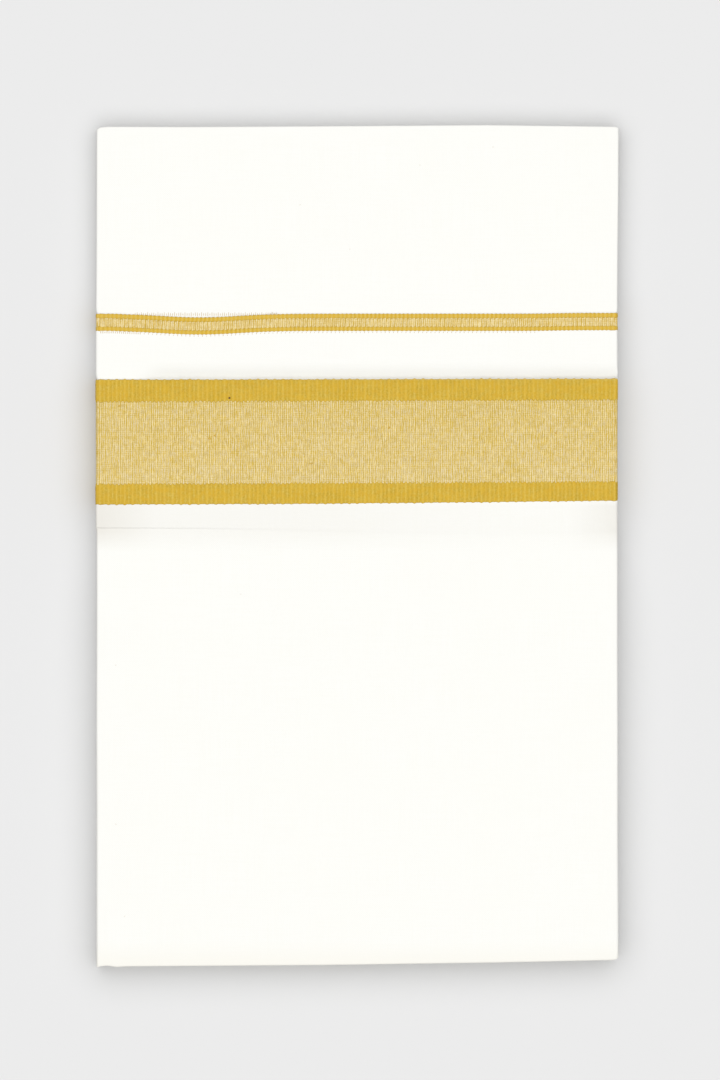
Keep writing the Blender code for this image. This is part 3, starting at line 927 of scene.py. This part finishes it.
# %% Order and heights of the layers
LAYER_ORDER = (8, 7, 4, 11, 12, 3, 2, 13, 10, 5, 6, 9, 14, 1)
LAYER_SLIP = (0.9, 0.5, 1.3, 0.7, 1.6, 0.9, 0.5, 1.1, 1.5, 0.7, 1.2, 0.5, 0.9, 0.7)
RIGHT_TURNS = {
    (7, 4): (2.4, 2.2), (5, 6): (2.6, 1.0), (3, 2): (1.6, 1.0),
    (11, 12): (3.1, 0.35), (13, 10): (3.1, 0.9), (9, 14): (3.1, 1.6), (1, None): (1.0, 0.0),
}
SHOWN_HEIGHT = table(
    (-184, 13.3), (-177, 13.8), (-60, 14.0), (6.6, 13.6), (62, 13.9), (72.9, 13.6),
    (73.6, 12.3), (80, 11.7), (93.9, 11.3), (101.3, 11.2), (102, 9.9), (112, 9.3),
    (126, 9.0), (178, 8.8), (184, 8.5),
)
LAYERS_TOP = table(
    (-184, 11.9), (-177, 12.4), (-60, 12.6), (-30, 11.4), (-10, 10.2), (8, 10.2), (18, 11.8),
    (40, 12.4), (60, 12.0), (63, 10.6), (73.6, 9.3), (78, 9.6), (90, 9.8), (93, 8.5),
    (102, 8.4), (112, 7.9), (126, 7.6), (178, 7.4), (184, 7.1),
)
LAYER_FILL, TURN_WALL, TUCK_GAP = 0.88, 1.9, 0.4
LOWEST_LAYER, BELOW_MIDDLE, ABOVE_MIDDLE = 1.35, 0.5, 1.3


def layer_height(layer, along):
    full, top = value_at(SHOWN_HEIGHT, along), value_at(LAYERS_TOP, along)
    levels = (LOWEST_LAYER, full / 2 - BELOW_MIDDLE, full / 2 + ABOVE_MIDDLE, top)
    return float(np.interp(layer - 0.5, (0, 7, 9, 14), levels))


def layer_thickness(along):
    return LAYER_FILL * (layer_height(5, along) - layer_height(4, along))


# %% [markdown]
# ## The ribbon of layers
# Seen from the end of the pack the ribbon is one long winding line. It starts beside the
# tuck on the right and runs to and fro. A turn in the spine reaches further out the taller
# it is, and each turn on the right has a reach of its own. The line is drawn at many places
# along the pack, once for each side of the ribbon, and half turns at the pack's two folded
# ends close the two sides.

# %% The winding line
def layer_path(along):
    """The middle of the ribbon seen from the end of the pack, and the layer at each point."""
    left, right = float(value_at(LEFT_EDGE, along)), float(value_at(RIGHT_EDGE, along))
    tall = layer_height(14, along) - layer_height(1, along)
    path, here = [], right - ROLL_DEPTH - TUCK_RUN - TUCK_GAP
    for step, (layer, following) in enumerate(zip(LAYER_ORDER, LAYER_ORDER[1:] + (None,))):
        z = layer_height(layer, along)
        other = z if following is None else layer_height(following, along)
        if step % 2 == 0:
            end = left + SPINE_DEPTH
            depth = -(SPINE_DEPTH - TURN_WALL) * abs(other - z) / tall
        else:
            back, depth = RIGHT_TURNS[(layer, following)]
            end = right - back
        path += [(here + (end - here) * share, z, layer) for share in np.linspace(0, 1, 5)]
        if following is None:
            break
        half, centre = (other - z) / 2, (other + z) / 2
        for angle in np.linspace(-math.pi / 2, math.pi / 2, 11)[1:-1]:
            reach, rise = nose(angle, depth, half, LOOSE_TURN, LOOSE_TURN)
            blend = 0.5 + 0.5 * math.sin(angle)
            path.append((end + reach, centre + rise, layer + (following - layer) * blend))
        here = end
    return np.array(path)


# %% The ribbon
STATIONS = (
    -177, -150, -110, -60, -30, -10, 8, 18, 40, 60, 63,
    73.2, 78, 90, 93, 101.4, 102.2, 112, 126, 150, 178,
)
END_STATION = 181.0


def ribbon_line(place, toward, side, bulge):
    """A line along the ribbon, half its thickness to a side, at a place or a folded end."""
    path, half = layer_path(place), layer_thickness(place) / 2
    tangent = np.gradient(path[:, :2], axis=0)
    tangent /= np.linalg.norm(tangent, axis=1)[:, None]
    x = path[:, 0] - tangent[:, 1] * side * half
    z = path[:, 1] + tangent[:, 0] * side * half
    y = np.full_like(x, place)
    if toward:
        slip = np.interp(path[:, 2], range(1, 15), LAYER_SLIP)
        edge = value_at(TOP_EDGE if toward > 0 else BOTTOM_EDGE, x)
        y = edge - toward * (slip + half * (1 - bulge))
    return np.column_stack([x, y, z])


def ribbon_caps(steps, rows, tip):
    """Faces that close the ribbon at its two ends, from one side of the ring to the other."""
    caps = []
    for first in (0, (steps - 1) * rows):
        for i in range(tip - rows // 2, tip):
            near, far = i % rows, (i + 1) % rows
            ring = (near, far, (2 * tip - i - 1) % rows, (2 * tip - i) % rows)
            face = [first + row for row in dict.fromkeys(ring)]
            caps.append(face if first else face[::-1])
    return caps


def folded_layers_piece():
    turn = np.linspace(0, math.pi, 7)
    lines = [(place, 0, 1.0, 0.0) for place in STATIONS]
    lines += [(END_STATION, 1, math.cos(angle), math.sin(angle)) for angle in turn]
    lines += [(place, 0, -1.0, 0.0) for place in reversed(STATIONS)]
    lines += [(-END_STATION, -1, -math.cos(angle), math.sin(angle)) for angle in turn]
    points = np.array([ribbon_line(*where) for where in lines]).transpose(1, 0, 2)
    caps = ribbon_caps(points.shape[0], len(lines), len(STATIONS) + len(turn) // 2)
    travel = run_along(points[:, 0])
    flat = np.stack([np.repeat(travel[:, None], len(lines), axis=1), points[:, :, 1]], axis=-1)
    made = grid_object("folded_layers", points, flat, COTTON, closed=True, caps=caps)
    return made, float(travel[-1])


folded_layers, ribbon_length = folded_layers_piece()
print(f"ribbon inside the pack: {ribbon_length / 1000:.2f} m")

# %% [markdown]
# ## Uneven yarn and stray threads
# Hand-spun yarn has slubs, short thick places that the weaver leaves in. A few on the tissue
# are orange gold, a few on the white are faint brown, and one dark fleck sits on the stripe.
# Beside the narrow border a row of tiny floats shows where the gold weft turns back. They
# are small raised marks laid on the cloth.

# %% Making marks
Mark = namedtuple("Mark", "x y wide tall turn")
ON_GOLD, MARK_FOOT, FLOAT_WIDTH = 0.2, -0.03, 0.45
BEFORE_FOLD = 60  # rows of a section before its end turns back


def face_stop(x):
    """The stop on the face at a place across the pack."""
    return Stop("face", (FACE_RIGHT - x) / FACE_RUN)


def face_height(x, y):
    """Height of the face at a place, read from whichever ply is on top there."""
    stop, place = face_stop(x), np.array([y], float)
    if y < WIDE_TOP - 0.5:
        gold = y > value_at(WIDE_FOOT, x)
        rise = ON_GOLD if gold else float(cloth_relief(stop, place)[0])
        return float(outer_height(stop, place)[0]) + rise
    section = middle_section(stop) if y < NARROW_TOP - sag(stop) + 0.2 else upper_section(stop)
    height = section.height + section.lift
    return float(np.interp(y, section.along[:BEFORE_FOLD], height[:BEFORE_FOLD]))


def marks_piece(name, marks, rise, finish):
    """Little flat domes, each lying on the cloth."""
    points, faces = [], []
    for mark in [Mark(*row) for row in marks]:
        first, base = len(points), face_height(mark.x, mark.y)
        turn = math.radians(mark.turn)
        for reach, height in ((1.0, MARK_FOOT), (0.75, rise * 0.7), (0.3, rise)):
            for angle in np.linspace(0, 2 * math.pi, 9)[:-1]:
                run = mark.wide / 2 * reach * math.cos(angle)
                off = mark.tall / 2 * reach * math.sin(angle)
                x = mark.x + run * math.cos(turn) - off * math.sin(turn)
                y = mark.y + run * math.sin(turn) + off * math.cos(turn)
                points.append((x, y, base + height))
        for ring in (first, first + 8):
            for i in range(8):
                a, b = ring + i, ring + (i + 1) % 8
                faces.append((a, b, b + 8, a + 8))
        faces.append(tuple(range(first + 16, first + 24)))
    print(f"{name}: {len(marks)} marks")
    points = np.array(points)
    return cloth_object(name, points, faces, points[:, :2], finish)


def yarn_finish(name, dark, light):
    yarn = Finish(name, roughness=0.8)
    colour = yarn.blend(yarn.streaks(0.5, 0.3, seed=31.0), dark, light)
    return yarn.close(colour, yarn.streaks(0.3, 0.2, seed=32.0), 0.04)


# %% Slubs and the fleck
GOLD_SLUBS = (
    (-103.7, 61.2, 1.3, 0.7, 5), (-64.6, 46.9, 1.3, 0.8, -4), (-62.2, 48.2, 1.1, 0.7, 8),
    (13.8, 51.5, 1.5, 0.6, 60), (86.8, 49.4, 1.1, 0.7, 30), (-20, 36, 1.8, 0.4, 2),
    (47, 57, 1.5, 0.4, -3),
)
COTTON_SLUBS = (
    (-105.4, -52, 1, 0.35, 10), (-105.4, -121.4, 1.1, 0.35, -20), (-101.5, -161.6, 0.9, 0.35, 40),
    (-50.8, -21, 0.9, 0.3, 0), (-25, 149, 1, 0.3, 15), (27.4, 166.4, 0.9, 0.3, -10),
    (-3.2, 129.7, 0.9, 0.3, 80), (59.3, 174.3, 0.9, 0.3, 5),
)
FLECK = ((-55.8, 64.6, 1, 0.9, 20),)
ORANGE_GOLD = yarn_finish("orange_gold_yarn", tone(212, 170, 66), tone(226, 188, 92))
BROWN_COTTON = yarn_finish("brown_cotton_yarn", tone(228, 220, 204), tone(242, 237, 225))
DARK_YARN = yarn_finish("dark_yarn", tone(92, 60, 40), tone(120, 84, 50))
gold_slubs = marks_piece("gold_slubs", GOLD_SLUBS, 0.07, ORANGE_GOLD)
cotton_slubs = marks_piece("cotton_slubs", COTTON_SLUBS, 0.05, BROWN_COTTON)
dark_fleck = marks_piece("dark_fleck", FLECK, 0.1, DARK_YARN)

# %% Floats beside the narrow border
def float_row(start, end, pitch, y, tall):
    """A row of short upright floats, a little uneven in length."""
    row = []
    for i in range(round((end - start) / pitch)):
        x = start + i * pitch
        below = sag(face_stop(x)) if y < NARROW_FOOT else 0.0
        row.append((x, y - below, FLOAT_WIDTH, tall * (1 + 0.3 * math.sin(2.4 * i)), 0))
    return row


FLOATS = float_row(-97, -34, THREAD, 101.1, 1.7) + float_row(-112, -94, THREAD, 93.1, 1.5)
FLOATS += float_row(-93, 80, 2 * THREAD, 93.2, 0.8)
FLOAT_YARN = yarn_finish("float_yarn", tone(218, 200, 164), tone(232, 218, 190))
float_threads = marks_piece("float_threads", FLOATS, 0.03, FLOAT_YARN)

# %% [markdown]
# ## Bodies, slots and cut sizes
# Nothing on a folded cloth moves by itself, so every piece rides on the one body, and the solids
# that the sheets stand for are hidden. The table lists for each piece its solid and a material
# slot, and for a sheet the flat size that was cut or folded to make the stretch that shows.

BOTTOM_FOLD, TOP_FOLD, BAND_FOOT = -184.0, 183.5, 18.8
TURNED_FOLD, TURNED_SELVEDGE, EDGES, LAP = 7.2, 4.3, 0.3, 0.2
MESH_FOOT, MESH_TOP = NARROW_FOOT + CORD_WIDTH, NARROW_TOP - CORD_WIDTH
WRAPS = (
    (lower_cloth, "lower_panel", "white_cotton", BOTTOM_FOLD, BAND_FOOT + LAP, TURNED_FOLD),
    (middle_cloth, "middle_strip", "white_cotton", WIDE_TOP, NARROW_FOOT, RUN_UNDER),
    (upper_cloth, "upper_panel", "white_cotton", NARROW_TOP, TOP_FOLD, RUN_UNDER + TURNED_FOLD),
    (wide_upper_band, "wide_border_upper_band", "gold_band", TISSUE_TOP, WIDE_TOP, TURNED_SELVEDGE),
    (wide_tissue, "wide_border_tissue", "gold_tissue", TISSUE_FOOT, TISSUE_TOP, 2 * UNDER_BAND),
    (wide_lower_band, "wide_border_lower_band", "gold_band", BAND_FOOT, TISSUE_FOOT, EDGES),
    (narrow_upper_cord, "narrow_border", "gold_band", MESH_TOP, NARROW_TOP, TURNED_SELVEDGE),
    (narrow_lower_cord, "narrow_border", "gold_band", NARROW_FOOT, MESH_FOOT, EDGES),
    (narrow_mesh, "narrow_border", "gold_mesh", MESH_FOOT, MESH_TOP, 2 * MESH_UNDER),
)
WITH_PIECES = {narrow_mesh: [narrow_upper_cord, narrow_lower_cord]}
for piece, node, slot, low, high, hidden in WRAPS:
    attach(piece, "root")
    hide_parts(node)
    if piece in (narrow_upper_cord, narrow_lower_cord):
        continue
    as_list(WITH_PIECES.get(piece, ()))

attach(folded_layers, "root")
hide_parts("inner_layers")
MARK_SLOTS = (
    (gold_slubs, "gold_tissue"), (cotton_slubs, "white_cotton"),
    (dark_fleck, "gold_band"), (float_threads, "gold_band"),
)
for piece, slot in MARK_SLOTS:
    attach(piece, "root")

# %% [markdown]
# ## Table, light and camera
# The photograph has a plain pale table, very soft light and a camera straight above. One
# very wide lamp overhead gives most of that light, and the soft shadow round the pack. A weak
# even sky fills in the rest. A long lens far away keeps the sides of the pack upright.

# %% Table
def table_finish():
    surface = Finish("pale_table", roughness=0.9, specular=0.1)
    grain = surface.node("TexNoise", {"Scale": 3.0}, "Fac")
    pale, paler = tone(235.5, 235.5, 235.5), tone(236.5, 236.5, 236.5)
    surface.feed(surface.shader, {"Base Color": surface.blend(grain, pale, paler)})
    return surface.material


TABLE_HALF = 8.0
table_mesh = bpy.data.meshes.new("table_top")
table_corners = [(-1, -1), (1, -1), (1, 1), (-1, 1)]
table_points = [(x * TABLE_HALF, y * TABLE_HALF, 0) for x, y in table_corners]
table_mesh.from_pydata(table_points, [], [(0, 1, 2, 3)])
table_mesh.materials.append(table_finish())
table_top = bpy.data.objects.new("table_top", table_mesh)
bpy.context.scene.collection.objects.link(table_top)

# %% Light
SKY = 0.35
LAMP = math.pi * (FACE_LIGHT - SKY)
LAMP_SPREAD, LAMP_TILT_BACK, LAMP_TILT_RIGHT = 110, 3, 0.5
sky = bpy.data.worlds.new("even_sky")
sky.use_nodes = True
background = sky.node_tree.nodes["Background"]
background.inputs["Color"].default_value = (1.0, 1.0, 1.0, 1.0)
background.inputs["Strength"].default_value = SKY
bpy.context.scene.world = sky

lamp_data = bpy.data.lights.new("soft_lamp", "SUN")
lamp_data.energy = LAMP
lamp_data.angle = math.radians(LAMP_SPREAD)
lamp = bpy.data.objects.new("soft_lamp", lamp_data)
bpy.context.scene.collection.objects.link(lamp)
lamp.rotation_euler = (math.radians(-LAMP_TILT_BACK), math.radians(LAMP_TILT_RIGHT), 0)
bpy.context.scene.view_settings.view_transform = "Standard"

# %% Camera
CAMERA_X, CAMERA_Y, FRAME_HEIGHT = 1.2, 2.6, 471.7
CAMERA_RISE, SHARP_PLANE = 6000.0, 10.0
SENSOR = 36.0
camera_data = bpy.data.cameras.new("camera")
camera_data.sensor_fit = "VERTICAL"
camera_data.sensor_height = SENSOR
camera_data.sensor_width = SENSOR
camera_data.lens = SENSOR * (CAMERA_RISE - SHARP_PLANE) / FRAME_HEIGHT
camera_data.clip_end = 100
camera = bpy.data.objects.new("camera", camera_data)
camera.location = (CAMERA_X * MM, CAMERA_Y * MM, CAMERA_RISE * MM)
bpy.context.scene.collection.objects.link(camera)
bpy.context.scene.camera = camera
